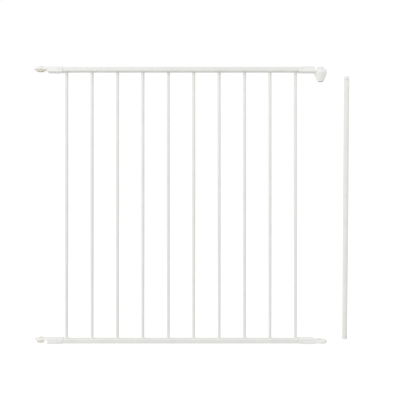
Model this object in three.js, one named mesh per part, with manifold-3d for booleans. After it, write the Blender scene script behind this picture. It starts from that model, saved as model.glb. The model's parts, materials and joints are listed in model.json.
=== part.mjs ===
// Modular safety gate section: a barred steel panel with a moulded hinge knuckle on each
// corner, and the loose locking rod that belongs to its right-hand joint.
// Millimetres. +X along the panel, +Z up, the front faces -Y.
// The origin is on the left hinge axis, at the mating plane of the lower knuckles.

import * as THREE from 'three';
import { mergeVertices } from 'three/addons/utils/BufferGeometryUtils.js';
import Module from 'manifold-3d';

const wasm = await Module();
wasm.setup();

// ---- driving dimensions -------------------------------------------------------------

const GAP = 0.3; // clearance kept between pieces that touch
const HINGE_SPAN = 720; // left hinge axis to right hinge axis
const RAIL_SPACING = 697; // centre line to centre line
const LOWER_RAIL_Z = -3;
const UPPER_RAIL_Z = LOWER_RAIL_Z + RAIL_SPACING;

const RAIL = { height: 11.4, depth: 22, radius: 2, wall: 1.5, inset: 28 };
const BAR = { count: 10, radius: 4, wall: 1, first: 66.8, pitch: 65.4, entry: 3 };

// Knuckle heights are counted from the rail's centre line, distances from the hinge axis.
const SLEEVE = { height: 14.6, depth: 26, radius: 1.2 };
const PLATE_SLEEVE = { start: 19, step: 46, lip: 56, end: 58 };
const RING_SLEEVE = { start: 16.4, step: 46, lip: 55, end: 57 };
const COLLAR = { height: 13.8, depth: 25.4, radius: 1.1, lipScale: 0.97 };
const EYE_RADIUS = 16;
const NECK_DEPTH = 26;
const UPPER_MATING = -1.1;
const LOWER_MATING = 3;
const PLATE_TOP = SLEEVE.height / 2;
const PAD = { radius: 7, top: 8 };

const BOLT = {
  shank: 2.5, hole: 2.8, head: 4.75, headHeight: 2.5, rimHeight: 0.6, shoulder: 4.1, flat: 2.3,
  socket: 1.75, socketDepth: 1.5,
};
const BUSH = { outer: 10.2, inner: 8.8, flange: 11.6, bottom: -4.9, flangeBottom: 4.8, top: 6 };
const BOSS = { outer: 9.2, spigot: 6, bottom: -4.4, seat: 1, top: 5.5, chamfer: 1 };

const UPPER_RING = { bottom: -10.4, bore: BUSH.outer + GAP, floor: -5.3, webBottom: -7.5 };
const LOWER_RING = { bottom: -5.3, bore: BOSS.outer + GAP, round: 2 };
const HUB = { radius: 8.5, top: 6.2, stem: 4.5, stemBottom: -9.1, chamfer: 0.8 };
const INSERT = { outer: 3.6, bore: 2.1, bottom: -3.6, top: 5.9 };
const CONE = {
  top: 15.4, bottom: 7.7, tip: -30.8, socket: 6.85, spigot: 9, roofTop: -7.8, roof: -9.4,
  brimEdge: 1.5, tipEdge: 1, tipBevel: 0.2, bulge: 1.2,
};

const ROD = { length: 675, radius: 6.5, wall: 1.2, parkedX: 782.1, parkedZ: 1.2, leanDeg: 0.464 };
const FOOT = { radius: 7, height: 7.3, hollow: 5.2, hollowDepth: 3.2, bevel: 0.6 };
const ROD_CAP = { radius: 6.45, height: 8.7, chamfer: 1 };
const PLUG = { radius: 5, length: 12 };

const SCREW = { at: 50, shank: 1.5, head: 2.5, hole: 1.8, sink: 0.8, sinkRadius: 2.8, proud: 0.2, tip: -4 };

const FINE = 32; // segments round a knuckle-sized circle
const MIDDLE = 24; // segments round the rod and the hub
const COARSE = 16; // segments round a bar or a bolt
const SLIM = 10; // segments round a screw's shank
const CURVE_STEPS = 5; // segments along a dome or a flank
const MERGE_DISTANCE = 1e-4;
const OVERCUT = 1; // how far a cutting solid runs past the face it cuts

// ---- materials ----------------------------------------------------------------------

const WHITE_STEEL = new THREE.MeshStandardMaterial({ color: 0xf1f0ec, roughness: 0.35, metalness: 0 });
const WHITE_PLASTIC = new THREE.MeshStandardMaterial({ color: 0xf2f1ed, roughness: 0.5, metalness: 0 });
const GREY_PLASTIC = new THREE.MeshStandardMaterial({ color: 0xe4e3de, roughness: 0.55, metalness: 0 });
const TAN_ZINC = new THREE.MeshStandardMaterial({ color: 0xc2ac7e, roughness: 0.38, metalness: 0.7 });
const BRASS = new THREE.MeshStandardMaterial({ color: 0xc9a24a, roughness: 0.3, metalness: 1 });
const ZINC = new THREE.MeshStandardMaterial({ color: 0xd9d8d2, roughness: 0.3, metalness: 0.9 });

// ---- solids -------------------------------------------------------------------------

// Turns a closed three.js geometry into a solid, dropping triangles that have no area.
function solid(geometry) {
  const bare = geometry.clone();
  bare.deleteAttribute('normal');
  bare.deleteAttribute('uv');
  const merged = mergeVertices(bare, MERGE_DISTANCE);
  const corners = merged.index.array;
  const kept = [];
  for (let i = 0; i < corners.length; i += 3) {
    const [a, b, c] = [corners[i], corners[i + 1], corners[i + 2]];
    if (a !== b && b !== c && c !== a) kept.push(a, b, c);
  }
  return new wasm.Manifold(new wasm.Mesh({
    numProp: 3,
    vertProperties: new Float32Array(merged.attributes.position.array),
    triVerts: new Uint32Array(kept),
  }));
}

function namedMesh(name, body, material) {
  const { vertProperties, triVerts } = body.getMesh();
  const geometry = new THREE.BufferGeometry();
  geometry.setAttribute('position', new THREE.BufferAttribute(vertProperties, 3));
  geometry.setIndex(new THREE.BufferAttribute(triVerts, 1));
  geometry.computeVertexNormals();
  const mesh = new THREE.Mesh(geometry, material);
  mesh.name = name;
  return mesh;
}

function joined(first, ...others) {
  return others.reduce((whole, piece) => whole.add(piece), first);
}

function without(first, ...cuts) {
  return cuts.reduce((rest, cut) => rest.subtract(cut), first);
}

// Upright cylinder between two heights.
function post(radius, bottom, top, segments = COARSE, x = 0, y = 0) {
  const geometry = new THREE.CylinderGeometry(radius, radius, top - bottom, segments);
  geometry.rotateX(Math.PI / 2);
  geometry.translate(x, y, (bottom + top) / 2);
  return solid(geometry);
}

// Solid of revolution about Z from [radius, height] points that run counter-clockwise.
function turned(profile, segments = FINE) {
  const points = profile.map(([radius, height]) => new THREE.Vector2(radius, height));
  const geometry = new THREE.LatheGeometry(points, segments);
  geometry.rotateX(Math.PI / 2);
  return solid(geometry);
}

function box(x0, x1, y0, y1, z0, z1) {
  const geometry = new THREE.BoxGeometry(Math.abs(x1 - x0), y1 - y0, z1 - z0);
  geometry.translate((x0 + x1) / 2, (y0 + y1) / 2, (z0 + z1) / 2);
  return solid(geometry);
}

// Bar of rounded rectangular section along X, its far end scaled about its centre line.
function flatOval(x0, x1, depth, height, radius, endScale = 1) {
  const [w, h] = [depth / 2, height / 2];
  const outline = new THREE.Shape();
  outline.moveTo(-w + radius, -h);
  outline.absarc(w - radius, -h + radius, radius, -Math.PI / 2, 0);
  outline.absarc(w - radius, h - radius, radius, 0, Math.PI / 2);
  outline.absarc(-w + radius, h - radius, radius, Math.PI / 2, Math.PI);
  outline.absarc(-w + radius, -h + radius, radius, Math.PI, 1.5 * Math.PI);
  const length = Math.abs(x1 - x0);
  const settings = { depth: length, bevelEnabled: false, curveSegments: 4 };
  const geometry = new THREE.ExtrudeGeometry(outline, settings);
  const place = geometry.attributes.position;
  for (let i = 0; i < place.count; i += 1) {
    const isFarEnd = place.getZ(i) > length / 2;
    const scale = isFarEnd ? endScale : 1;
    place.setX(i, place.getX(i) * scale);
    place.setY(i, place.getY(i) * scale);
  }
  const alongX = new THREE.Matrix4().makeBasis(
    new THREE.Vector3(0, 1, 0),
    new THREE.Vector3(0, 0, 1),
    new THREE.Vector3(1, 0, 0),
  );
  geometry.applyMatrix4(alongX);
  if (x1 < x0) geometry.rotateZ(Math.PI);
  geometry.translate(x0, 0, 0);
  return solid(geometry);
}

// Cylinder along Y, used for the screws in the sleeves and their holes.
function crossPin(radius, front, back, x, segments = COARSE) {
  const geometry = new THREE.CylinderGeometry(radius, radius, back - front, segments);
  geometry.translate(x, (front + back) / 2, 0);
  return solid(geometry);
}

// ---- frame --------------------------------------------------------------------------

function barX(index) {
  return BAR.first + BAR.pitch * index;
}

// Hollow rail. side is +1 where the bars enter from above, -1 where they enter from below.
function rail(name, z, side) {
  const [x0, x1] = [RAIL.inset, HINGE_SPAN - RAIL.inset];
  const { depth, height, radius, wall } = RAIL;
  const inside = [depth - 2 * wall, height - 2 * wall, radius - wall];
  let body = without(
    flatOval(x0, x1, depth, height, radius),
    flatOval(x0 - OVERCUT, x1 + OVERCUT, ...inside),
  );
  for (let i = 0; i < BAR.count; i += 1) {
    const mouth = side * (height / 2 + OVERCUT);
    const ends = [0, mouth].sort((a, b) => a - b);
    body = body.subtract(post(BAR.radius + GAP, ...ends, COARSE, barX(i)));
  }
  for (const x of [SCREW.at, HINGE_SPAN - SCREW.at]) {
    body = body.subtract(crossPin(SCREW.hole, -depth / 2 - OVERCUT, 0, x));
  }
  return namedMesh(name, body.translate(0, 0, z), WHITE_STEEL);
}

function bar(index) {
  const bottom = LOWER_RAIL_Z + RAIL.height / 2 - RAIL.wall - BAR.entry;
  const top = UPPER_RAIL_Z - RAIL.height / 2 + RAIL.wall + BAR.entry;
  const body = without(
    post(BAR.radius, bottom, top),
    post(BAR.radius - BAR.wall, bottom - OVERCUT, top + OVERCUT),
  );
  const name = `bar_${String(index + 1).padStart(2, '0')}`;
  return namedMesh(name, body.translate(barX(index), 0, 0), WHITE_STEEL);
}

// ---- knuckles, built about their hinge axis at the rail's height -------------------------

// side is +1 for a plate knuckle, whose rail lies towards +X, and -1 for a ring knuckle.
function sleeveLengths(side) {
  return side > 0 ? PLATE_SLEEVE : RING_SLEEVE;
}

// Socket that takes the rail's end.
function sleeve(side) {
  const { height, depth, radius } = SLEEVE;
  const { start, step, lip, end } = sleeveLengths(side);
  const pocket = RAIL.inset - GAP;
  return without(
    joined(
      flatOval(side * start, side * step, depth, height, radius),
      flatOval(side * (step - OVERCUT), side * lip, COLLAR.depth, COLLAR.height, COLLAR.radius),
      flatOval(side * lip, side * end, COLLAR.depth, COLLAR.height, COLLAR.radius, COLLAR.lipScale),
    ),
    flatOval(
      side * pocket,
      side * (end + OVERCUT),
      RAIL.depth + 2 * GAP,
      RAIL.height + 2 * GAP,
      RAIL.radius + GAP,
    ),
    crossPin(SCREW.hole, -depth, 0, side * SCREW.at),
    crossPin(SCREW.sinkRadius, -depth, -COLLAR.depth / 2 + SCREW.sink, side * SCREW.at),
  );
}

function neck(side, bottom, top) {
  const half = NECK_DEPTH / 2;
  return box(0, side * (sleeveLengths(side).start + OVERCUT), -half, half, bottom, top);
}

// Left knuckle: the upper half of the eye, a plate that lies on the neighbour's ring.
function plateKnuckle(name, z, mating, cuts) {
  const eye = joined(
    post(EYE_RADIUS, mating, PLATE_TOP, FINE),
    neck(1, mating, PLATE_TOP),
    post(PAD.radius, mating, PAD.top, FINE),
    sleeve(1),
  );
  const bored = without(eye, post(BOLT.hole, mating - OVERCUT, PAD.top + OVERCUT), ...cuts);
  return namedMesh(name, bored.translate(0, 0, z), WHITE_PLASTIC);
}

function upperLeftKnuckle() {
  const cuts = [
    post(BUSH.outer + GAP, UPPER_MATING - OVERCUT, BUSH.flangeBottom, FINE),
    post(BUSH.flange + GAP, BUSH.flangeBottom - GAP, BUSH.top + GAP, FINE),
  ];
  return plateKnuckle('upper_left_knuckle', UPPER_RAIL_Z, UPPER_MATING, cuts);
}

function lowerLeftKnuckle() {
  const cuts = [
    post(BOSS.spigot + GAP, LOWER_MATING - OVERCUT, BOSS.top + GAP, FINE),
    post(BOSS.outer + GAP, LOWER_MATING - OVERCUT, LOWER_MATING + BOSS.seat, FINE),
  ];
  return plateKnuckle('lower_left_knuckle', LOWER_RAIL_Z, LOWER_MATING, cuts);
}

// Hollow metal bush moulded round its flange in the upper plate.
function upperToothedBush() {
  const { outer, inner, flange, bottom, flangeBottom, top } = BUSH;
  const body = turned([
    [inner, bottom],
    [outer, bottom],
    [outer, flangeBottom],
    [flange, flangeBottom],
    [flange, top],
    [inner, top],
    [inner, bottom],
  ]);
  return namedMesh('upper_toothed_bush', body.translate(0, 0, UPPER_RAIL_Z), TAN_ZINC);
}

// Solid metal boss, let a little way into the lower plate. It drops into the neighbour's lower ring.
function lowerToothedBoss() {
  const { outer, spigot, bottom, top, chamfer } = BOSS;
  const shoulder = LOWER_MATING + BOSS.seat - GAP;
  const body = without(
    turned([
      [0, bottom],
      [outer - chamfer, bottom],
      [outer, bottom + chamfer],
      [outer, shoulder],
      [spigot, shoulder],
      [spigot, top],
      [0, top],
    ]),
    post(BOLT.hole, bottom + OVERCUT, top + OVERCUT),
  );
  return namedMesh('lower_toothed_boss', body.translate(0, 0, LOWER_RAIL_Z), TAN_ZINC);
}

// Button-head bolt with a hexagon socket, standing on the pad of a left plate.
function buttonBolt(name, z, tip) {
  const seat = PAD.top + GAP;
  const crown = seat + BOLT.headHeight;
  const dome = new THREE.QuadraticBezierCurve(
    new THREE.Vector2(BOLT.head, seat + BOLT.rimHeight),
    new THREE.Vector2(BOLT.shoulder, crown),
    new THREE.Vector2(BOLT.flat, crown),
  );
  const body = without(
    turned([
      [0, tip],
      [BOLT.shank, tip],
      [BOLT.shank, seat],
      [BOLT.head, seat],
      ...dome.getPoints(CURVE_STEPS).map((point) => [point.x, point.y]),
      [0, crown],
    ], COARSE),
    post(BOLT.socket, crown - BOLT.socketDepth, crown + OVERCUT, 6),
  );
  return namedMesh(name, body.translate(0, 0, z), ZINC);
}

// Right knuckles: the lower half of the eye, a ring that takes the neighbour's bush or boss.
function upperRightKnuckle() {
  const { bottom, bore, floor, webBottom } = UPPER_RING;
  const body = without(
    joined(
      post(EYE_RADIUS, bottom, UPPER_MATING, FINE),
      neck(-1, -PLATE_TOP, UPPER_MATING),
      sleeve(-1),
    ),
    post(bore, floor, UPPER_MATING + OVERCUT, FINE),
    post(HUB.stem + GAP, bottom - OVERCUT, UPPER_MATING),
    post(CONE.spigot + GAP, bottom - OVERCUT, webBottom, FINE),
  );
  const placed = body.translate(HINGE_SPAN, 0, UPPER_RAIL_Z);
  return namedMesh('upper_right_knuckle', placed, WHITE_PLASTIC);
}

function lowerRightKnuckle() {
  const { bottom, bore, round } = LOWER_RING;
  const bend = 0.3 * round; // how far the middle of a rounding stays from its two faces
  const body = without(
    joined(
      turned([
        [0, bottom],
        [EYE_RADIUS - round, bottom],
        [EYE_RADIUS - bend, bottom + bend],
        [EYE_RADIUS, bottom + round],
        [EYE_RADIUS, LOWER_MATING - round],
        [EYE_RADIUS - bend, LOWER_MATING - bend],
        [EYE_RADIUS - round, LOWER_MATING],
        [0, LOWER_MATING],
      ]),
      neck(-1, bottom, LOWER_MATING),
      sleeve(-1),
    ),
    post(bore, bottom - OVERCUT, LOWER_MATING + OVERCUT, FINE),
  );
  const placed = body.translate(HINGE_SPAN, 0, LOWER_RAIL_Z);
  return namedMesh('lower_right_knuckle', placed, WHITE_PLASTIC);
}

// Hub that stands in the upper ring and enters the neighbour's bush.
function hingeHub() {
  const { radius, top, stem, stemBottom, chamfer } = HUB;
  const foot = UPPER_RING.floor + GAP;
  const body = without(
    turned([
      [0, stemBottom],
      [stem, stemBottom],
      [stem, foot],
      [radius, foot],
      [radius, top - chamfer],
      [radius - chamfer, top],
      [0, top],
    ], MIDDLE),
    post(INSERT.outer + GAP, INSERT.bottom - GAP, top + OVERCUT),
  );
  return namedMesh('hinge_hub', body.translate(HINGE_SPAN, 0, UPPER_RAIL_Z), GREY_PLASTIC);
}

function hubInsert() {
  const { outer, bore, bottom, top } = INSERT;
  const body = without(post(outer, bottom, top), post(bore, bottom - OVERCUT, top + OVERCUT));
  return namedMesh('hub_insert', body.translate(HINGE_SPAN, 0, UPPER_RAIL_Z), BRASS);
}

// Bell-shaped socket under the upper ring that takes the locking rod's top end.
function rodCone() {
  const { top, bottom, tip, socket, spigot, roofTop, roof, brimEdge, tipEdge, tipBevel, bulge } = CONE;
  const brim = UPPER_RING.bottom - GAP;
  const flank = new THREE.QuadraticBezierCurve(
    new THREE.Vector2(top, brim - brimEdge),
    new THREE.Vector2((top + bottom) / 2 + bulge, (brim + tip) / 2),
    new THREE.Vector2(bottom, tip + tipEdge),
  );
  const stemHole = HUB.stem + GAP;
  const body = turned([
    [stemHole, roofTop],
    [stemHole, roof],
    [socket, roof],
    [socket, tip],
    [bottom - tipBevel, tip],
    ...flank.getPoints(CURVE_STEPS).reverse().map((point) => [point.x, point.y]),
    [top, brim],
    [spigot, brim],
    [spigot, roofTop],
    [stemHole, roofTop],
  ]);
  return namedMesh('rod_cone', body.translate(HINGE_SPAN, 0, UPPER_RAIL_Z), WHITE_PLASTIC);
}

// Nylon pan-head screw through the front of a sleeve into the rail.
function sleeveScrew(name, x, z) {
  const face = -COLLAR.depth / 2;
  const seat = face + SCREW.sink - GAP;
  const body = joined(
    crossPin(SCREW.head, face - SCREW.proud, seat, x),
    crossPin(SCREW.shank, seat - GAP, SCREW.tip, x, SLIM),
  );
  return namedMesh(name, body.translate(0, 0, z), WHITE_PLASTIC);
}

// ---- locking rod, built upright from its foot at the origin -----------------------------

function lockingRod() {
  const tubeBottom = FOOT.height + GAP;
  const tubeTop = ROD.length - ROD_CAP.height - GAP;
  const tube = without(
    post(ROD.radius, tubeBottom, tubeTop, MIDDLE),
    post(ROD.radius - ROD.wall, tubeBottom - OVERCUT, tubeTop + OVERCUT, MIDDLE),
  );
  const foot = turned([
    [FOOT.hollow, 0],
    [FOOT.radius - FOOT.bevel, 0],
    [FOOT.radius, FOOT.bevel],
    [FOOT.radius, FOOT.height - FOOT.bevel],
    [FOOT.radius - FOOT.bevel, FOOT.height],
    [PLUG.radius, FOOT.height],
    [PLUG.radius, FOOT.height + PLUG.length],
    [0, FOOT.height + PLUG.length],
    [0, FOOT.hollowDepth],
    [FOOT.hollow, FOOT.hollowDepth],
    [FOOT.hollow, 0],
  ], MIDDLE);
  const capBottom = ROD.length - ROD_CAP.height;
  const cap = turned([
    [0, capBottom - PLUG.length],
    [PLUG.radius, capBottom - PLUG.length],
    [PLUG.radius, capBottom],
    [ROD_CAP.radius, capBottom],
    [ROD_CAP.radius, ROD.length - ROD_CAP.chamfer],
    [ROD_CAP.radius - ROD_CAP.chamfer, ROD.length],
    [0, ROD.length],
  ], MIDDLE);
  const rod = new THREE.Group();
  rod.add(namedMesh('rod_foot', foot, GREY_PLASTIC));
  rod.add(namedMesh('rod_tube', tube, WHITE_STEEL));
  rod.add(namedMesh('rod_top_cap', cap, GREY_PLASTIC));
  rod.position.set(ROD.parkedX, 0, ROD.parkedZ);
  rod.rotation.y = THREE.MathUtils.degToRad(ROD.leanDeg);
  return rod;
}

// ---- assembly -----------------------------------------------------------------------

const gate = new THREE.Group();

gate.add(rail('bottom_rail', LOWER_RAIL_Z, 1));
gate.add(rail('top_rail', UPPER_RAIL_Z, -1));
for (let i = 0; i < BAR.count; i += 1) gate.add(bar(i));

gate.add(upperLeftKnuckle());
gate.add(lowerLeftKnuckle());
gate.add(upperRightKnuckle());
gate.add(lowerRightKnuckle());
gate.add(sleeveScrew('upper_left_screw', SCREW.at, UPPER_RAIL_Z));
gate.add(sleeveScrew('lower_left_screw', SCREW.at, LOWER_RAIL_Z));
gate.add(sleeveScrew('upper_right_screw', HINGE_SPAN - SCREW.at, UPPER_RAIL_Z));
gate.add(sleeveScrew('lower_right_screw', HINGE_SPAN - SCREW.at, LOWER_RAIL_Z));

gate.add(upperToothedBush());
gate.add(buttonBolt('clamp_bolt', UPPER_RAIL_Z, BUSH.bottom + 1));
gate.add(lowerToothedBoss());
gate.add(buttonBolt('pivot_bolt', LOWER_RAIL_Z, BOSS.bottom + 2));
gate.add(hingeHub());
gate.add(hubInsert());
gate.add(rodCone());
gate.add(lockingRod());

export default gate;
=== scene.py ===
"""Modular safety gate section with its loose locking rod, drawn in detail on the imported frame.

Pieces are built in millimetres about their own axis, then placed in the frame in metres.
+X runs along the panel, +Z is up, the front faces -Y.
"""

import json
import math
import random

import bmesh
import bpy
from mathutils import Matrix, Vector


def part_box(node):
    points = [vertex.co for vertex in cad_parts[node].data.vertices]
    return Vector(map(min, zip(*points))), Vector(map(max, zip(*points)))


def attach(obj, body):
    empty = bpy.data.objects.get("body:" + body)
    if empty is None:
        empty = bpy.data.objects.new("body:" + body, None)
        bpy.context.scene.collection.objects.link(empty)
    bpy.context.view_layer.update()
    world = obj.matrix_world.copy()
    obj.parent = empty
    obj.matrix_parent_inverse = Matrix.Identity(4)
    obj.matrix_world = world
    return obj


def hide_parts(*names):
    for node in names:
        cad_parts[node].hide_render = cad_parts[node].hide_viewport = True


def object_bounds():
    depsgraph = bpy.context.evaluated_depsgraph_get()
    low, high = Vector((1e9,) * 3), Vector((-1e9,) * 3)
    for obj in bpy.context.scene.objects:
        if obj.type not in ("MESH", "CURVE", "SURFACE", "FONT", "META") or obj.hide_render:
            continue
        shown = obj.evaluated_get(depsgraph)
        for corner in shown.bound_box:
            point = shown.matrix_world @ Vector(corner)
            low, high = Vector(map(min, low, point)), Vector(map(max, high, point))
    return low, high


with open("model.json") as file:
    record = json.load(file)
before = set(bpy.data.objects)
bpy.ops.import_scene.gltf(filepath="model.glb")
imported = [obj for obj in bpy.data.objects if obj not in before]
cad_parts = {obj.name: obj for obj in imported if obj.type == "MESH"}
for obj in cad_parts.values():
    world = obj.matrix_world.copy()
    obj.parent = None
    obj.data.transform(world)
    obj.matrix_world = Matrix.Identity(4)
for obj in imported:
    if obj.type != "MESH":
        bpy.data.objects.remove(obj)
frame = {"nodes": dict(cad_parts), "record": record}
cad_box = [list(corner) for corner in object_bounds()]

# ---- driving dimensions, millimetres ------------------------------------------------

MM = 0.001
ROUND = 96  # segments round a hinge eye
SLIM = 48  # segments round a bar or a bolt
OVERCUT = 1  # how far a cutting solid runs past the face it cuts
THREAD_DEPTH = 0.54  # share of the pitch
TAU = 2 * math.pi

RAIL = {"radius": 2, "wall": 1.5, "bore": 4.3, "screw_hole": 1.8}
BAR_WALL = 1.0
WELD = {"reach": 1.4, "height": 1.5, "sink": 0.05}

# Heights of the knuckles are counted from their rail's centre line. Outer edges are the ones that
# lie away from the bars.
EYE = {"radius": 16, "depth": 26}
SLEEVE = {"depth": 26, "height": 14.6, "inner_radius": 1.2, "outer_radius": 2, "end_edge": 1}
PLATE_SLEEVE = {"start": 19, "step": 46, "end": 58}
RING_SLEEVE = {"start": 16.4, "step": 46, "end": 57}
COLLAR = {
    "depth": 25.4, "height": 14, "end_depth": 25, "end_height": 13.1, "slimmer": 0.2, "edge": 0.9,
}
POCKET = {"start": 27.7, "depth": 22.5, "height": 11.9, "radius": 2.25}
PLATE_TOP = SLEEVE["height"] / 2
PLATE_EDGES = (0.5, 1.8)  # lower and upper
PAD = {"radius": 7, "top": 8}
UPPER_MATING = -1.1
LOWER_MATING = 3
UPPER_RING = {
    "bottom": -10.4, "bore": 10.5, "floor": -5.3, "web": -7.5, "stem_hole": 4.8, "spigot": 9.3,
    "lower_edge": 0.15, "upper_edge": 0.9,
}
LOWER_RING = {"bottom": -5.3, "bore": 9.5, "edge": 2}
TEETH = {"count": 60, "depth": 0.28}
SIDE_PLAY = 0.15  # round metal moulded into a plate
END_PLAY = 0.2

BUSH = {"outer": 10.2, "inner": 8.8, "flange": 11.6, "bottom": -4.9, "flange_bottom": 4.8, "top": 6}
BOSS = {"outer": 9.2, "spigot": 6, "bottom": -4.4, "shoulder": 3.7, "top": 5.5}
BOLT = {
    "shank": 2.5, "head": 4.75, "head_height": 2.5, "socket": 1.75, "depth": 1.5, "hole": 2.8, "pitch": 0.8,
}
BOLT_SEAT = PAD["top"] + 0.3
HUB = {"radius": 8.5, "foot": -5, "top": 6.2, "stem": 4.5, "stem_bottom": -9.1, "well": 3.9}
INSERT = {"outer": 3.85, "bottom": -3.6, "top": 5.9, "knurls": 30, "knurl_depth": 0.25}
CONE = {
    "top": 15.4, "bottom": 7.5, "brim": -10.45, "tip": -30.8, "socket": 6.85,
    "spigot": 9, "stem_hole": 4.8, "roof_top": -7.8, "roof": -9.4,
}
SCREW = {
    "at": 50, "head": 2.6, "sink": 0.8, "recess": 2.8, "proud": 0.2, "shank": 1.5, "tip": -4, "pitch": 1,
}

ROD = {"wall": 1.2, "plug": 5, "plug_length": 12, "seam": 0.25}
FOOT = {"radius": 7, "hollow": 5.2, "hollow_depth": 3.2}
ROD_CAP = {"radius": 6.45, "chamfer": 1}

# ---- measures from the frame ----------------------------------------------------------


def extent(node):
    """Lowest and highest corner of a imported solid, in millimetres."""
    low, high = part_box(node)
    return low / MM, high / MM


def middle(node):
    low, high = extent(node)
    return (low + high) / 2


UPPER_Z = middle("top_rail").z
LOWER_Z = middle("bottom_rail").z
RIGHT_X = middle("hinge_hub").x

# ---- outlines -------------------------------------------------------------------------


def filleted(corners, steps=6):
    """Closed outline through corners given as (x, y) or (x, y, radius of the rounding)."""
    outline = []
    neighbours = zip(corners[-1:] + corners[:-1], corners, corners[1:] + corners[:1])
    for before, corner, after in neighbours:
        point = Vector(corner[:2])
        if len(corner) < 3:
            outline.append(tuple(point))
            continue
        radius = corner[2]
        back = (Vector(before[:2]) - point).normalized()
        on = (Vector(after[:2]) - point).normalized()
        half = back.angle(on) / 2
        centre = point + (back + on).normalized() * radius / math.sin(half)
        start = point + back * radius / math.tan(half) - centre
        end = point + on * radius / math.tan(half) - centre
        turn = math.copysign(math.pi - 2 * half, start.x * end.y - start.y * end.x)
        for step in range(steps + 1):
            angle = turn * step / steps
            x = centre.x + start.x * math.cos(angle) - start.y * math.sin(angle)
            y = centre.y + start.x * math.sin(angle) + start.y * math.cos(angle)
            outline.append((x, y))
    return outline


def bezier(start, control, end, steps):
    """Points of a quadratic curve, ends included."""
    points = []
    for step in range(steps + 1):
        t = step / steps
        x, y = (
            (1 - t) ** 2 * a + 2 * t * (1 - t) * b + t * t * c
            for a, b, c in zip(start, control, end)
        )
        points.append((x, y))
    return points


def rounded_rectangle(width, height, lower, upper):
    """Lower and upper are the radii of the roundings below and above."""
    w, h = width / 2, height / 2
    return filleted([(-w, -h, lower), (w, -h, lower), (w, h, upper), (-w, h, upper)], 8)


def polygon(radius, sides):
    return [
        (radius * math.cos(TAU * i / sides), radius * math.sin(TAU * i / sides))
        for i in range(sides)
    ]


def toothed(tip, root, count):
    """Circle of pointed teeth, as radii that alternate between tip and root."""
    outline = []
    for i in range(2 * count):
        radius = tip if i % 2 == 0 else root
        angle = math.pi * i / count
        outline.append((radius * math.cos(angle), radius * math.sin(angle)))
    return outline


# ---- solids ---------------------------------------------------------------------------


def solid(vertices, faces):
    """Object from a closed skin, with its faces turned outwards."""
    mesh = bpy.data.meshes.new("solid")
    mesh.from_pydata(vertices, [], faces)
    skin = bmesh.new()
    skin.from_mesh(mesh)
    bmesh.ops.recalc_face_normals(skin, faces=skin.faces)
    skin.to_mesh(mesh)
    skin.free()
    made = bpy.data.objects.new("solid", mesh)
    bpy.context.scene.collection.objects.link(made)
    return made


def turned(outline, segments=ROUND, ripple=None):
    """Solid of revolution about Z of a closed outline of (radius, height) points."""
    vertices, rows = [], []
    for radius, height in outline:
        if radius < 1e-6:
            rows.append([len(vertices)] * segments)
            vertices.append((0, 0, height))
            continue
        rows.append([len(vertices) + i for i in range(segments)])
        for i in range(segments):
            angle = TAU * i / segments
            reach = ripple(radius, angle) if ripple else radius
            vertices.append((reach * math.cos(angle), reach * math.sin(angle), height))
    faces = []
    for row, other in zip(rows, rows[1:] + rows[:1]):
        for i in range(segments):
            j = (i + 1) % segments
            corners = list(dict.fromkeys([row[i], row[j], other[j], other[i]]))
            if len(corners) > 2:
                faces.append(corners)
    return solid(vertices, faces)


def lofted(rings):
    """Solid skinned over rings of the same number of points, with flat ends."""
    count = len(rings[0])
    vertices = [point for ring in rings for point in ring]
    faces = [list(range(count)), list(range(len(vertices) - count, len(vertices)))]
    for base in range(0, len(vertices) - count, count):
        for i in range(count):
            j = (i + 1) % count
            faces.append([base + i, base + j, base + count + j, base + count + i])
    return solid(vertices, faces)


def prism(outline, bottom, top):
    return lofted([[(x, y, z) for x, y in outline] for z in (bottom, top)])


def post(radius, bottom, top, segments=ROUND):
    return prism(polygon(radius, segments), bottom, top)


def flat_oval(stations):
    """Bar along X through (x, depth, height, lower radius, upper radius) stations."""
    return lofted([
        [(x, y, z) for y, z in rounded_rectangle(*section)]
        for x, *section in stations
    ])


def rounded_end(x, inward, section, edge, steps=6):
    """Stations from a flat end face, over a rounded edge, to the full section."""
    depth, height, lower, upper = section
    stations = []
    for step in range(steps + 1):
        angle = math.pi / 2 * step / steps
        inset = edge * (1 - math.sin(angle))
        along = x + inward * edge * (1 - math.cos(angle))
        stations.append((along, depth - 2 * inset, height - 2 * inset, lower - inset, upper - inset))
    return stations


def threaded(radius, pitch, bottom, top, segments=32):
    """Post with a helical V thread cut in it."""
    depth = THREAD_DEPTH * pitch
    rows = math.ceil((top - bottom) / pitch * 8)  # eight rings of points a turn
    rings = []
    for row in range(rows + 1):
        z = bottom + (top - bottom) * row / rows
        ring = []
        for i in range(segments):
            phase = (z / pitch - i / segments) % 1
            reach = radius - depth * abs(2 * phase - 1)
            angle = TAU * i / segments
            ring.append((reach * math.cos(angle), reach * math.sin(angle), z))
        rings.append(ring)
    return lofted(rings)


def combined(base, operation, others):
    for other in others:
        cut = base.modifiers.new("combine", "BOOLEAN")
        cut.operation = operation
        cut.solver = "MANIFOLD"
        cut.object = other
    graph = bpy.context.evaluated_depsgraph_get()
    base.data = bpy.data.meshes.new_from_object(base.evaluated_get(graph))
    base.modifiers.clear()
    for other in others:
        bpy.data.objects.remove(other)
    return base


def joined(base, *others):
    return combined(base, "UNION", others)


def without(base, *others):
    return combined(base, "DIFFERENCE", others)


def common(base, *others):
    return combined(base, "INTERSECT", others)


def moved(thing, x=0, y=0, z=0):
    thing.data.transform(Matrix.Translation((x, y, z)))
    return thing


def spun(thing, degrees, axis):
    thing.data.transform(Matrix.Rotation(math.radians(degrees), 4, axis))
    return thing


# ---- finishes -------------------------------------------------------------------------
# Noise scales are counted per metre, and bump distances are in metres.


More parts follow.
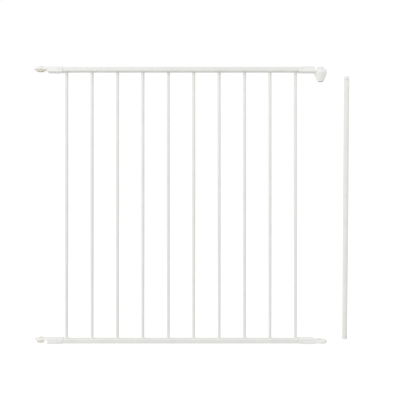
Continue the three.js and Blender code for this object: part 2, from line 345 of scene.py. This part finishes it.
def node(tree, kind, settings=None, **sockets):
    """Adds a shader node. A socket value is a number, a colour or another node's output."""
    made = tree.nodes.new(kind)
    for key, value in (settings or {}).items():
        setattr(made, key, value)
    for key, value in sockets.items():
        socket = made.inputs[key.replace("_", " ")]
        if isinstance(value, bpy.types.NodeSocket):
            tree.links.new(value, socket)
        else:
            socket.default_value = value
    return made


def blank(name):
    material = bpy.data.materials.new(name)
    material.use_nodes = True
    material.node_tree.nodes.clear()
    return material, material.node_tree


def noise(tree, place, scale, detail=2.0):
    return node(tree, "ShaderNodeTexNoise", Vector=place, Scale=scale, Detail=detail).outputs["Fac"]


def between(tree, factor, low, high, start=0.35, end=0.65):
    """Maps a noise factor from start..end to low..high."""
    spread = node(
        tree, "ShaderNodeMapRange",
        Value=factor, From_Min=start, From_Max=end, To_Min=low, To_Max=high,
    )
    return spread.outputs["Result"]


def tinted(tree, factor, dark, light, start=0.35, end=0.65):
    ramp = node(tree, "ShaderNodeValToRGB", Fac=factor)
    ramp.color_ramp.elements[0].position = start
    ramp.color_ramp.elements[0].color = (*dark, 1)
    ramp.color_ramp.elements[1].position = end
    ramp.color_ramp.elements[1].color = (*light, 1)
    return ramp.outputs["Color"]


def bumped(tree, height, distance, strength=1.0, normal=None):
    relief = node(tree, "ShaderNodeBump", Height=height, Distance=distance, Strength=strength)
    if normal is not None:
        tree.links.new(normal, relief.inputs["Normal"])
    return relief.outputs["Normal"]


def shaded(tree, colour, roughness, normal, **uniform):
    shader = node(
        tree, "ShaderNodeBsdfPrincipled",
        Base_Color=colour, Roughness=roughness, Normal=normal, **uniform,
    )
    node(tree, "ShaderNodeOutputMaterial", Surface=shader.outputs["BSDF"])


def powder_coat():
    """White powder coat on steel: fine orange peel, slight pooling of tone and gloss."""
    material, tree = blank("white_powder_coat")
    place = node(tree, "ShaderNodeTexCoord").outputs["Object"]
    pooled = noise(tree, place, 28, 3)
    colour = tinted(tree, pooled, (0.825, 0.823, 0.803), (0.858, 0.857, 0.838))
    roughness = between(tree, noise(tree, place, 160, 3), 0.30, 0.42)
    peel = bumped(tree, noise(tree, place, 620, 1.5), 0.00006, 0.6)
    speck = bumped(tree, noise(tree, place, 3400, 1), 0.00001, 0.4, peel)
    shaded(tree, colour, roughness, speck, IOR=1.5)
    return material


def moulded(name, dark, light, rough, grain):
    """Moulded plastic: spark-eroded grain, faint flow marks along the rail."""
    material, tree = blank(name)
    place = node(tree, "ShaderNodeTexCoord").outputs["Object"]
    stretched = node(tree, "ShaderNodeMapping", Vector=place)
    stretched.inputs["Scale"].default_value = (22, 90, 90)
    flow = noise(tree, stretched.outputs["Vector"], 1, 3)
    colour = tinted(tree, flow, dark, light)
    roughness = between(tree, noise(tree, place, 240, 3), rough - 0.05, rough + 0.07)
    eroded = bumped(tree, noise(tree, place, 2600, 2), 0.00002, grain)
    sunk = bumped(tree, noise(tree, place, 110, 1), 0.00012, 0.35, eroded)
    shaded(tree, colour, roughness, sunk, IOR=1.5)
    return material


def turned_metal(name, dark, light, rough, metal):
    """Plated metal with lathe lines round its axis and a cloudy passivation film."""
    material, tree = blank(name)
    place = node(tree, "ShaderNodeTexCoord").outputs["Object"]
    cloudy = noise(tree, place, 330, 4)
    colour = tinted(tree, cloudy, dark, light)
    lathe = node(
        tree, "ShaderNodeTexWave", {"wave_type": "BANDS", "bands_direction": "Z"},
        Vector=place, Scale=900, Distortion=1.2, Detail=2,
    )
    roughness = between(tree, noise(tree, place, 900, 3), rough - 0.06, rough + 0.10)
    lines = bumped(tree, lathe.outputs["Fac"], 0.000008, 0.5)
    pits = bumped(tree, noise(tree, place, 1900, 3), 0.00001, 0.4, lines)
    shaded(tree, colour, roughness, pits, Metallic=metal)
    return material


FINISHES = {
    "white_steel": powder_coat(),
    "white_plastic": moulded("white_nylon", (0.890, 0.887, 0.868), (0.920, 0.918, 0.902), 0.48, 0.5),
    "grey_plastic": moulded("pale_grey_nylon", (0.835, 0.835, 0.812), (0.865, 0.864, 0.845), 0.52, 0.6),
    "tan_zinc": turned_metal("tan_passivated_zinc", (0.945, 0.900, 0.780), (0.980, 0.945, 0.850), 0.44, 0.0),
    "brass": turned_metal("machined_brass", (0.700, 0.520, 0.230), (0.840, 0.670, 0.370), 0.26, 1.0),
    "zinc_plate": turned_metal("zinc_plate", (0.870, 0.870, 0.860), (0.930, 0.930, 0.922), 0.36, 0.3),
}


# ---- placing --------------------------------------------------------------------------

BODY_OF = {name: body for body, names in frame["record"]["behaviour"]["bodies"].items() for name in names}


def placed(thing, cad_node, slot, origin=(0, 0, 0), tilt=0.0, sharp=32):
    """Names, shades and places a finished solid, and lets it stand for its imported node."""
    thing.name = f"{cad_node}_detailed"
    thing.data.name = thing.name
    turn = Matrix.Rotation(tilt, 4, "Y")
    thing.data.transform(Matrix.Scale(MM, 4) @ Matrix.Translation(origin) @ turn)
    thing.data.materials.clear()
    thing.data.materials.append(FINISHES[slot])
    thing.data.shade_smooth()
    thing.data.set_sharp_from_angle(angle=math.radians(sharp))
    weighted = thing.modifiers.new("weighted_normals", "WEIGHTED_NORMAL")
    weighted.keep_sharp = True
    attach(thing, BODY_OF[cad_node])
    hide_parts(cad_node)
    return thing


# ---- rails and bars -------------------------------------------------------------------


def rail(cad_node, side):
    """Hollow flat-oval rail. side is +1 where the bars enter from above."""
    low, high = extent(cad_node)
    centre = (low + high) / 2
    depth, height = high.y - low.y, high.z - low.z
    wall = RAIL["wall"]
    outside = (depth, height, RAIL["radius"], RAIL["radius"])
    inside = (depth - 2 * wall, height - 2 * wall, RAIL["radius"] - wall, RAIL["radius"] - wall)
    tube = flat_oval([(low.x, *outside), (high.x, *outside)])
    hollow = flat_oval([(low.x - OVERCUT, *inside), (high.x + OVERCUT, *inside)])
    bores = [
        moved(post(RAIL["bore"], 0, height, SLIM), middle(name).x, 0, 0 if side > 0 else -height)
        for name in BARS
    ]
    screw_holes = [
        moved(spun(post(RAIL["screw_hole"], 0, depth, 24), 90, "X"), x)
        for x in (SCREW["at"], RIGHT_X - SCREW["at"])
    ]
    body = without(tube, hollow, *bores, *screw_holes)
    placed(body, cad_node, "white_steel", (0, 0, centre.z))


def weld_ripple(radius, seed):
    """Uneven swelling of a weld bead, none on the bar itself."""
    rng = random.Random(seed)
    waves = [(lobes, rng.uniform(0, TAU), rng.uniform(0.05, 0.13)) for lobes in (2, 3, 5, 8)]

    def ripple(reach, angle):
        swell = max(0.0, reach - radius)
        return reach + swell * sum(size * math.sin(lobes * angle + start) for lobes, start, size in waves)

    return ripple


def bar(cad_node, seed):
    """Round tube between the rails with a welded fillet at each end."""
    low, high = extent(cad_node)
    centre = (low + high) / 2
    radius = (high.x - low.x) / 2
    inner = radius - BAR_WALL
    reach, rise = WELD["reach"], WELD["height"]

    def fillet(surface, up):
        """From under the rail's surface, out along it and in a hollow curve to the bar."""
        foot = [(radius, surface - up * WELD["sink"]), (radius + reach, surface - up * WELD["sink"])]
        curve = bezier((radius + reach, surface + up * 0.1), (radius + 0.2, surface + up * 0.25),
                       (radius, surface + up * rise), 6)
        return foot + curve

    floor = extent("bottom_rail")[1].z
    roof = extent("top_rail")[0].z
    outline = [
        (inner, low.z), (radius, low.z),
        *fillet(floor, 1),
        *reversed(fillet(roof, -1)),
        (radius, high.z), (inner, high.z),
    ]
    body = turned(outline, SLIM, weld_ripple(radius, seed))
    placed(body, cad_node, "white_steel", (centre.x, 0, 0))


BARS = sorted(name for name in frame["nodes"] if name.startswith("bar_"))
rail("bottom_rail", 1)
rail("top_rail", -1)
for index, name in enumerate(BARS):
    bar(name, index)

# ---- knuckles -------------------------------------------------------------------------


def sleeve_lengths(side):
    """side is +1 for a plate knuckle, whose rail lies towards +X, and -1 for a ring knuckle."""
    return PLATE_SLEEVE if side > 0 else RING_SLEEVE


def sleeve(side, outwards):
    """Sleeve over a rail's end, with a slimmer collar. outwards is +1 if the bars lie below it."""
    start, step, end = sleeve_lengths(side).values()
    inner, outer = SLEEVE["inner_radius"], SLEEVE["outer_radius"]
    radii = (inner, outer) if outwards > 0 else (outer, inner)
    slim_radii = tuple(radius - COLLAR["slimmer"] for radius in radii)
    full = (SLEEVE["depth"], SLEEVE["height"], *radii)
    slim = (COLLAR["depth"], COLLAR["height"], *slim_radii)
    mouth = (COLLAR["end_depth"], COLLAR["end_height"], *slim_radii)
    shoulder = (full[0] - slim[0]) / 2
    stations = rounded_end(start, 1, full, SLEEVE["end_edge"])
    stations += reversed(rounded_end(step, -1, full, shoulder, 4))
    stations.append((step + shoulder, *slim))
    stations += reversed(rounded_end(end, -1, mouth, COLLAR["edge"]))
    return flat_oval([(side * x, *section) for x, *section in stations])


def rail_pocket(side):
    section = (POCKET["depth"], POCKET["height"], POCKET["radius"], POCKET["radius"])
    mouth = tuple(value + 0.5 for value in section)
    end = sleeve_lengths(side)["end"]
    stations = [(POCKET["start"], *section), (end - 0.5, *section), (end, *mouth), (end + OVERCUT, *mouth)]
    return flat_oval([(side * x, *section) for x, *section in stations])


def screw_sink(side):
    """Stepped hole for the sleeve's screw, from the front."""
    front = COLLAR["depth"] / 2
    outline = filleted([
        (0, 0), (RAIL["screw_hole"], 0), (RAIL["screw_hole"], front - SCREW["sink"]),
        (SCREW["recess"], front - SCREW["sink"], 0.15), (SCREW["recess"], front - 0.1),
        (SCREW["recess"] + 1.1, front + OVERCUT), (0, front + OVERCUT),
    ])
    return moved(spun(turned(outline, SLIM), 90, "X"), side * SCREW["at"])


def neck(side, bottom, top, lower_edge, upper_edge):
    """Block that carries the eye, with the same edge roundings as the eye itself."""
    half = EYE["depth"] / 2
    outline = filleted([
        (-half, bottom, lower_edge), (half, bottom, lower_edge),
        (half, top, upper_edge), (-half, top, upper_edge),
    ])
    ends = (0, side * (sleeve_lengths(side)["start"] + 2))
    return lofted([[(x, y, z) for y, z in outline] for x in ends])


def eye(bottom, top, lower_edge, upper_edge):
    radius = EYE["radius"]
    return turned(filleted([
        (0, bottom), (radius, bottom, lower_edge), (radius, top, upper_edge), (0, top),
    ]))


def counterbore(radius, bottom, top, chamfer, at_top):
    """Round cutter that opens out in a chamfer at the face it enters by."""
    outline = [(0, bottom), (radius, bottom), (radius, top), (0, top)]
    wide = radius + chamfer
    if at_top:
        outline[2:3] = [(radius, top - chamfer), (wide, top), (wide, top + OVERCUT)]
        outline[-1] = (0, top + OVERCUT)
    else:
        outline[1:2] = [(wide, bottom - OVERCUT), (wide, bottom), (radius, bottom + chamfer)]
        outline[0] = (0, bottom - OVERCUT)
    return turned(outline)


def plate_knuckle(cad_node, rail_z, mating, outwards, cuts):
    """Left knuckle: the upper half of the eye, a plate with a raised pad for its bolt."""
    pad = turned(filleted([
        (0, mating + 1), (PAD["radius"], mating + 1),
        (PAD["radius"], PAD["top"], 0.3), (0, PAD["top"]),
    ]))
    body = joined(
        sleeve(1, outwards),
        eye(mating, PLATE_TOP, *PLATE_EDGES),
        neck(1, mating, PLATE_TOP, *PLATE_EDGES),
        pad,
    )
    hole = post(BOLT["hole"], mating - 2, PAD["top"] + 2, SLIM)
    body = without(body, rail_pocket(1), screw_sink(1), hole, *cuts)
    placed(body, cad_node, "white_plastic", (0, 0, rail_z))


def ring_knuckle(cad_node, rail_z, outwards, solids, cuts):
    """Right knuckle: the lower half of the eye, a ring with a toothed bore."""
    body = joined(sleeve(-1, outwards), *solids)
    body = without(body, rail_pocket(-1), screw_sink(-1), *cuts)
    placed(body, cad_node, "white_plastic", (RIGHT_X, 0, rail_z))


def toothed_bore(radius, bottom, top):
    """Cutter for a bore whose teeth take those of the neighbour's bush or boss."""
    return prism(toothed(radius + TEETH["depth"], radius, TEETH["count"]), bottom, top)


plate_knuckle("upper_left_knuckle", UPPER_Z, UPPER_MATING, 1, [
    counterbore(BUSH["outer"] + SIDE_PLAY, UPPER_MATING, BUSH["flange_bottom"], 0.4, False),
    post(BUSH["flange"] + SIDE_PLAY, BUSH["flange_bottom"] - END_PLAY, BUSH["top"] + END_PLAY),
])
plate_knuckle("lower_left_knuckle", LOWER_Z, LOWER_MATING, -1, [
    counterbore(BOSS["outer"] + SIDE_PLAY, LOWER_MATING, BOSS["shoulder"] + END_PLAY, 0.3, False),
    post(BOSS["spigot"] + SIDE_PLAY, LOWER_MATING, BOSS["top"] + END_PLAY),
])
ring_knuckle(
    "upper_right_knuckle",
    UPPER_Z,
    1,
    [
        eye(UPPER_RING["bottom"], UPPER_MATING, UPPER_RING["lower_edge"], UPPER_RING["upper_edge"]),
        neck(-1, -PLATE_TOP, UPPER_MATING, SLEEVE["inner_radius"], UPPER_RING["upper_edge"]),
    ],
    [
        counterbore(UPPER_RING["bore"], UPPER_RING["floor"], UPPER_MATING, 0.6, True),
        toothed_bore(UPPER_RING["bore"], UPPER_RING["floor"] + 0.4, UPPER_MATING + OVERCUT),
        post(UPPER_RING["stem_hole"], UPPER_RING["bottom"] - OVERCUT, UPPER_MATING, SLIM),
        counterbore(UPPER_RING["spigot"], UPPER_RING["bottom"], UPPER_RING["web"], 0.3, False),
    ],
)
ring_knuckle(
    "lower_right_knuckle",
    LOWER_Z,
    -1,
    [
        eye(LOWER_RING["bottom"], LOWER_MATING, LOWER_RING["edge"], LOWER_RING["edge"]),
        neck(-1, LOWER_RING["bottom"], LOWER_MATING, LOWER_RING["edge"], LOWER_RING["edge"]),
    ],
    [
        counterbore(LOWER_RING["bore"], LOWER_RING["bottom"] - OVERCUT, LOWER_MATING, 0.7, True),
        counterbore(LOWER_RING["bore"] - 0.01, LOWER_RING["bottom"], 0, 0.7, False),
        toothed_bore(LOWER_RING["bore"], LOWER_RING["bottom"] - OVERCUT, LOWER_MATING + OVERCUT),
    ],
)

# ---- hinge fittings ---------------------------------------------------------------------


def tooth_gaps(radius, bottom, top):
    """Ring that cuts pointed teeth in the outside of a bush or a boss."""
    kept = toothed(radius + 0.05, radius - TEETH["depth"], TEETH["count"])
    blank_ring = post(radius + 2, bottom, top)
    return without(blank_ring, prism(kept, bottom - OVERCUT, top + OVERCUT))


def toothed_bush():
    """Hollow bush, open below, held in the plate by its flange."""
    outer, inner, flange = BUSH["outer"], BUSH["inner"], BUSH["flange"]
    body = turned(filleted([
        (inner, BUSH["bottom"], 0.25), (outer, BUSH["bottom"], 0.4),
        (outer, BUSH["flange_bottom"]), (flange, BUSH["flange_bottom"], 0.2),
        (flange, BUSH["top"], 0.2), (inner, BUSH["top"]),
    ]), 4 * TEETH["count"])
    body = without(body, tooth_gaps(outer, BUSH["bottom"] - OVERCUT, UPPER_MATING - 0.2))
    placed(body, "upper_toothed_bush", "tan_zinc", (0, 0, UPPER_Z))


def toothed_boss():
    """Solid boss with a tapped hole for the pivot bolt."""
    outer, spigot = BOSS["outer"], BOSS["spigot"]
    body = turned(filleted([
        (0, BOSS["bottom"]), (outer - 0.9, BOSS["bottom"], 0.5), (outer, BOSS["bottom"] + 0.9, 0.5),
        (outer, BOSS["shoulder"], 0.2), (spigot, BOSS["shoulder"]), (spigot, BOSS["top"], 0.3),
        (0, BOSS["top"]),
    ]), 4 * TEETH["count"])
    tapped = threaded(BOLT["shank"] + 0.2, BOLT["pitch"], BOSS["bottom"] + 1.2, BOSS["top"] + OVERCUT)
    body = without(body, tooth_gaps(outer, BOSS["bottom"] - OVERCUT, LOWER_MATING - 0.2), tapped)
    placed(body, "lower_toothed_boss", "tan_zinc", (0, 0, LOWER_Z))


def button_bolt(cad_node, rail_z):
    """Domed bolt with a hexagon socket and a threaded shank."""
    low, _ = extent(cad_node)
    tip = low.z - rail_z
    crown = BOLT_SEAT + BOLT["head_height"]
    head = BOLT["head"]
    dome = bezier(
        (head, BOLT_SEAT + 0.22 * BOLT["head_height"]),
        (0.88 * head, crown - 0.02),
        (1.45 * BOLT["socket"], crown),
        10,
    )
    stub = BOLT["shank"] - 0.1
    body = turned(filleted([
        (0, BOLT_SEAT - 1), (stub, BOLT_SEAT - 1), (stub, BOLT_SEAT), (head, BOLT_SEAT, 0.2),
        *dome, (0, crown),
    ]), SLIM)
    shank = threaded(BOLT["shank"], BOLT["pitch"], tip + 0.4, BOLT_SEAT - 0.6)
    point = turned([
        (0, tip), (BOLT["shank"] - 0.6, tip), (BOLT["shank"] - 0.25, tip + 0.45),
        (BOLT["shank"] - 0.42, tip + 0.9), (0, tip + 0.9),
    ], 32)
    body = joined(body, shank, point)
    socket = prism(polygon(BOLT["socket"], 6), crown - BOLT["depth"], crown + OVERCUT)
    mouth = turned([
        (0, crown - 0.35), (BOLT["socket"] * 0.86, crown - 0.35),
        (BOLT["socket"] * 1.12, crown + 0.1), (0, crown + 0.1),
    ], SLIM)
    drill_point = turned([
        (0, crown - BOLT["depth"] - 0.5), (BOLT["socket"] * 0.8, crown - BOLT["depth"] + 0.02),
        (0, crown - BOLT["depth"] + 0.02),
    ], SLIM)
    body = without(body, socket, mouth, drill_point)
    placed(body, cad_node, "zinc_plate", (0, 0, rail_z))


def hinge_hub():
    """Hub that stands in the ring, with a stem down through its web."""
    body = turned(filleted([
        (0, HUB["stem_bottom"]), (HUB["stem"], HUB["stem_bottom"], 0.4), (HUB["stem"], HUB["foot"]),
        (HUB["radius"], HUB["foot"], 0.3), (HUB["radius"], HUB["top"] - 0.9, 0.5),
        (HUB["radius"] - 0.9, HUB["top"], 0.5), (0, HUB["top"]),
    ]))
    well = counterbore(HUB["well"], INSERT["bottom"] - 0.1, HUB["top"], 0.3, True)
    placed(without(body, well), "hinge_hub", "grey_plastic", (RIGHT_X, 0, UPPER_Z))


def hub_insert():
    """Knurled brass insert, tapped for the neighbour's clamp bolt."""
    outer = INSERT["outer"]
    bottom, top = INSERT["bottom"], INSERT["top"]
    below, above = bottom - OVERCUT, top + OVERCUT
    blank_sleeve = turned(filleted([
        (0, bottom), (outer, bottom, 0.4), (outer, top, 0.3), (0, top),
    ]), 4 * INSERT["knurls"])
    knurls = toothed(outer + 0.02, outer - INSERT["knurl_depth"], INSERT["knurls"])
    knurled = common(blank_sleeve, prism(knurls, below, above))
    tapped = threaded(BOLT["shank"] + 0.05, BOLT["pitch"], below, above)
    mouth = counterbore(BOLT["shank"] - 0.4, top - 1, top, 0.5, True)
    placed(without(knurled, tapped, mouth), "hub_insert", "brass", (RIGHT_X, 0, UPPER_Z))


def rod_cone():
    """Bell under the upper ring whose socket takes the locking rod's top end."""
    top, bottom, brim, tip, bore = (CONE[key] for key in ("top", "bottom", "brim", "tip", "socket"))
    flank = bezier((bottom, tip + 0.9), ((top + bottom) / 2 + 1.2, (brim + tip) / 2), (top, brim - 1.5), 24)
    outline = filleted([
        (CONE["stem_hole"], CONE["roof_top"]), (CONE["stem_hole"], CONE["roof"]),
        (bore, CONE["roof"], 0.5), (bore, tip + 0.6),
    ])
    outline += [(bore + 0.35, tip), (bottom - 0.35, tip), (bottom - 0.12, tip + 0.25)]
    outline += flank
    outline += filleted([(top, brim - 1.2), (top, brim, 0.15), (CONE["spigot"], brim)])[1:-1]
    outline += [(CONE["spigot"], brim), (CONE["spigot"], CONE["roof_top"])]
    placed(turned(outline), "rod_cone", "white_plastic", (RIGHT_X, 0, UPPER_Z))


def sleeve_screw(cad_node, x, rail_z):
    """Pan-head screw with a cross recess, through the front of a sleeve into the rail."""
    face = COLLAR["depth"] / 2
    seat = face - SCREW["sink"] + 0.2
    crown = face + SCREW["proud"]
    head = SCREW["head"]
    dome = bezier((head, crown - 0.3), (0.96 * head, crown), (0.35 * head, crown), 8)
    stub = SCREW["shank"] - 0.2
    body = turned(filleted([
        (0, seat - 1), (stub, seat - 1), (stub, seat), (head, seat, 0.15), *dome, (0, crown),
    ]), SLIM)
    shank = threaded(SCREW["shank"], SCREW["pitch"], -SCREW["tip"], seat - 0.6, 24)
    body = joined(body, shank)
    wings = []
    for turn in (0, 90):
        rings = []
        for z, long, wide in ((crown - 0.9, 0.4, 0.2), (crown + 0.2, 1.2, 0.32)):
            rings.append([(-long, -wide, z), (long, -wide, z), (long, wide, z), (-long, wide, z)])
        wings.append(spun(lofted(rings), turn, "Z"))
    body = without(body, *wings)
    spun(body, 45, "Z")
    spun(body, 90, "X")
    placed(body, cad_node, "white_plastic", (x, 0, rail_z))


toothed_bush()
toothed_boss()
button_bolt("clamp_bolt", UPPER_Z)
button_bolt("pivot_bolt", LOWER_Z)
hinge_hub()
hub_insert()
rod_cone()
for level, rail_z in (("upper", UPPER_Z), ("lower", LOWER_Z)):
    sleeve_screw(f"{level}_left_screw", SCREW["at"], rail_z)
    sleeve_screw(f"{level}_right_screw", RIGHT_X - SCREW["at"], rail_z)

# ---- locking rod, built upright from its foot ---------------------------------------------


def locking_rod():
    foot_middle, cap_middle = middle("rod_foot"), middle("rod_top_cap")
    lean = math.atan2(cap_middle.x - foot_middle.x, cap_middle.z - foot_middle.z)
    base_z = extent("rod_foot")[0].z + FOOT["radius"] * math.sin(lean)
    base_x = foot_middle.x - (foot_middle.z - base_z) * math.tan(lean)
    origin = (base_x, 0, base_z)
    up = 1 / math.cos(lean)
    radius, chamfer = ROD_CAP["radius"], ROD_CAP["chamfer"]
    length = (extent("rod_top_cap")[1].z - base_z) * up - (radius - chamfer) * math.sin(lean)
    tube_low, tube_high = extent("rod_tube")
    tube_radius = (tube_high.y - tube_low.y) / 2
    slant = tube_radius * math.sin(lean)
    tube_bottom = (tube_low.z + slant - base_z) * up
    tube_top = (tube_high.z - slant - base_z) * up
    inner = tube_radius - ROD["wall"]
    plug, plug_length = ROD["plug"], ROD["plug_length"]

    tube = turned(filleted([
        (inner, tube_bottom, 0.2), (tube_radius, tube_bottom, 0.35),
        (tube_radius, tube_top, 0.35), (inner, tube_top, 0.2),
    ]), ROUND)
    placed(tube, "rod_tube", "white_steel", origin, lean)

    neck_z = tube_bottom - ROD["seam"]
    foot = turned(filleted([
        (FOOT["hollow"], 0, 0.3), (FOOT["radius"], 0, 0.8), (FOOT["radius"], neck_z, 0.6),
        (plug, neck_z), (plug, neck_z + plug_length, 0.6), (0, neck_z + plug_length),
        (0, FOOT["hollow_depth"]), (FOOT["hollow"], FOOT["hollow_depth"], 0.5),
    ]), ROUND)
    placed(foot, "rod_foot", "grey_plastic", origin, lean)

    cap_bottom = tube_top + ROD["seam"]
    cap = turned(filleted([
        (0, cap_bottom - plug_length), (plug, cap_bottom - plug_length, 0.6), (plug, cap_bottom),
        (radius, cap_bottom, 0.25), (radius, length - chamfer, 0.6),
        (radius - chamfer, length, 0.6), (0, length),
    ]), ROUND)
    placed(cap, "rod_top_cap", "grey_plastic", origin, lean)


locking_rod()

# ---- studio -----------------------------------------------------------------------------

CAMERA = {"x": 410, "z": 358.7, "distance": 1550, "lens": 54.2}
FLOOR_DROP = 30  # the section hangs on its neighbour, so the floor lies a little lower
SKY_COLOUR = (1, 0.998, 0.992, 1)
STAGE = {"floor": 18000, "thickness": 20, "backdrop": 19000}
# Metres and watts.
LAMPS = {
    "key": {"at": (-1.0, -1.7, 1.7), "size": 1.4, "energy": 16},
    "fill": {"at": (1.9, -0.5, 1.5), "size": 0.9, "energy": 5},
}
# Brightness of the sky level with the camera, and how much it rises towards +X, +Y and +Z.
SKY = {"level": 0.736, "right": -0.12, "back": 0.0, "up": 0.05}


def camera_only(thing):
    """Keeps a stage piece out of the object's light and reflections."""
    thing.visible_diffuse = False
    thing.visible_glossy = False
    thing.visible_transmission = False
    thing.visible_volume_scatter = False
    thing.visible_shadow = False


def floor_finish():
    material, tree = blank("pale_floor")
    shader = node(tree, "ShaderNodeBsdfPrincipled", Base_Color=(0.96, 0.96, 0.96, 1), Roughness=0.9)
    shader.inputs["Specular IOR Level"].default_value = 0
    shader.inputs["Emission Color"].default_value = (1, 1, 1, 1)
    shader.inputs["Emission Strength"].default_value = 0.3
    node(tree, "ShaderNodeOutputMaterial", Surface=shader.outputs["BSDF"])
    return material


def backdrop_finish():
    material, tree = blank("white_backdrop")
    glow = node(tree, "ShaderNodeEmission", Color=(1, 1, 1, 1), Strength=1.02)
    node(tree, "ShaderNodeOutputMaterial", Surface=glow.outputs["Emission"])
    return material


def studio():
    floor_z = cad_box[0][2] / MM - FLOOR_DROP
    floor = prism(polygon(STAGE["floor"], 64), -STAGE["thickness"], 0)
    moved(floor, CAMERA["x"], 0, floor_z)
    floor.name = "floor"
    floor.data.materials.append(floor_finish())

    reach = STAGE["backdrop"]
    slopes = [math.radians(degrees) for degrees in range(-90, 91, 10)]
    ball = [(reach * math.cos(slope), reach * math.sin(slope)) for slope in slopes]
    backdrop = turned(ball, SLIM)
    backdrop.name = "backdrop"
    backdrop.data.materials.append(backdrop_finish())
    for thing in (floor, backdrop):
        thing.data.transform(Matrix.Scale(MM, 4))
        camera_only(thing)

    world = bpy.data.worlds.new("soft_studio")
    bpy.context.scene.world = world
    world.use_nodes = True
    tree = world.node_tree
    tree.nodes.clear()
    direction = node(tree, "ShaderNodeTexCoord").outputs["Generated"]
    lean = node(tree, "ShaderNodeVectorMath", {"operation": "DOT_PRODUCT"})
    tree.links.new(direction, lean.inputs[0])
    lean.inputs[1].default_value = (SKY["right"], SKY["back"], SKY["up"])
    level = node(tree, "ShaderNodeMath", {"operation": "ADD"})
    tree.links.new(lean.outputs["Value"], level.inputs[0])
    level.inputs[1].default_value = SKY["level"]
    sky = node(tree, "ShaderNodeBackground", Color=SKY_COLOUR, Strength=level.outputs["Value"])
    node(tree, "ShaderNodeOutputWorld", Surface=sky.outputs["Background"])


def softbox(name, location, target, size, energy):
    light = bpy.data.lights.new(name, "AREA")
    light.shape = "SQUARE"
    light.size = size
    light.energy = energy
    lamp = bpy.data.objects.new(name, light)
    lamp.location = location
    lamp.rotation_mode = "QUATERNION"
    lamp.rotation_quaternion = (Vector(target) - Vector(location)).to_track_quat("-Z", "Y")
    bpy.context.scene.collection.objects.link(lamp)


def camera():
    data = bpy.data.cameras.new("camera")
    data.lens = CAMERA["lens"]
    data.sensor_width = 36
    data.clip_end = 60
    view = bpy.data.objects.new("camera", data)
    view.location = (CAMERA["x"] * MM, -CAMERA["distance"] * MM, CAMERA["z"] * MM)
    view.rotation_euler = (math.pi / 2, 0, 0)
    bpy.context.scene.collection.objects.link(view)
    bpy.context.scene.camera = view


studio()
centre = (CAMERA["x"] * MM, 0, CAMERA["z"] * MM)
for name, lamp in LAMPS.items():
    softbox(name, lamp["at"], centre, lamp["size"], lamp["energy"])
camera()
bpy.context.scene.view_settings.view_transform = "Standard"
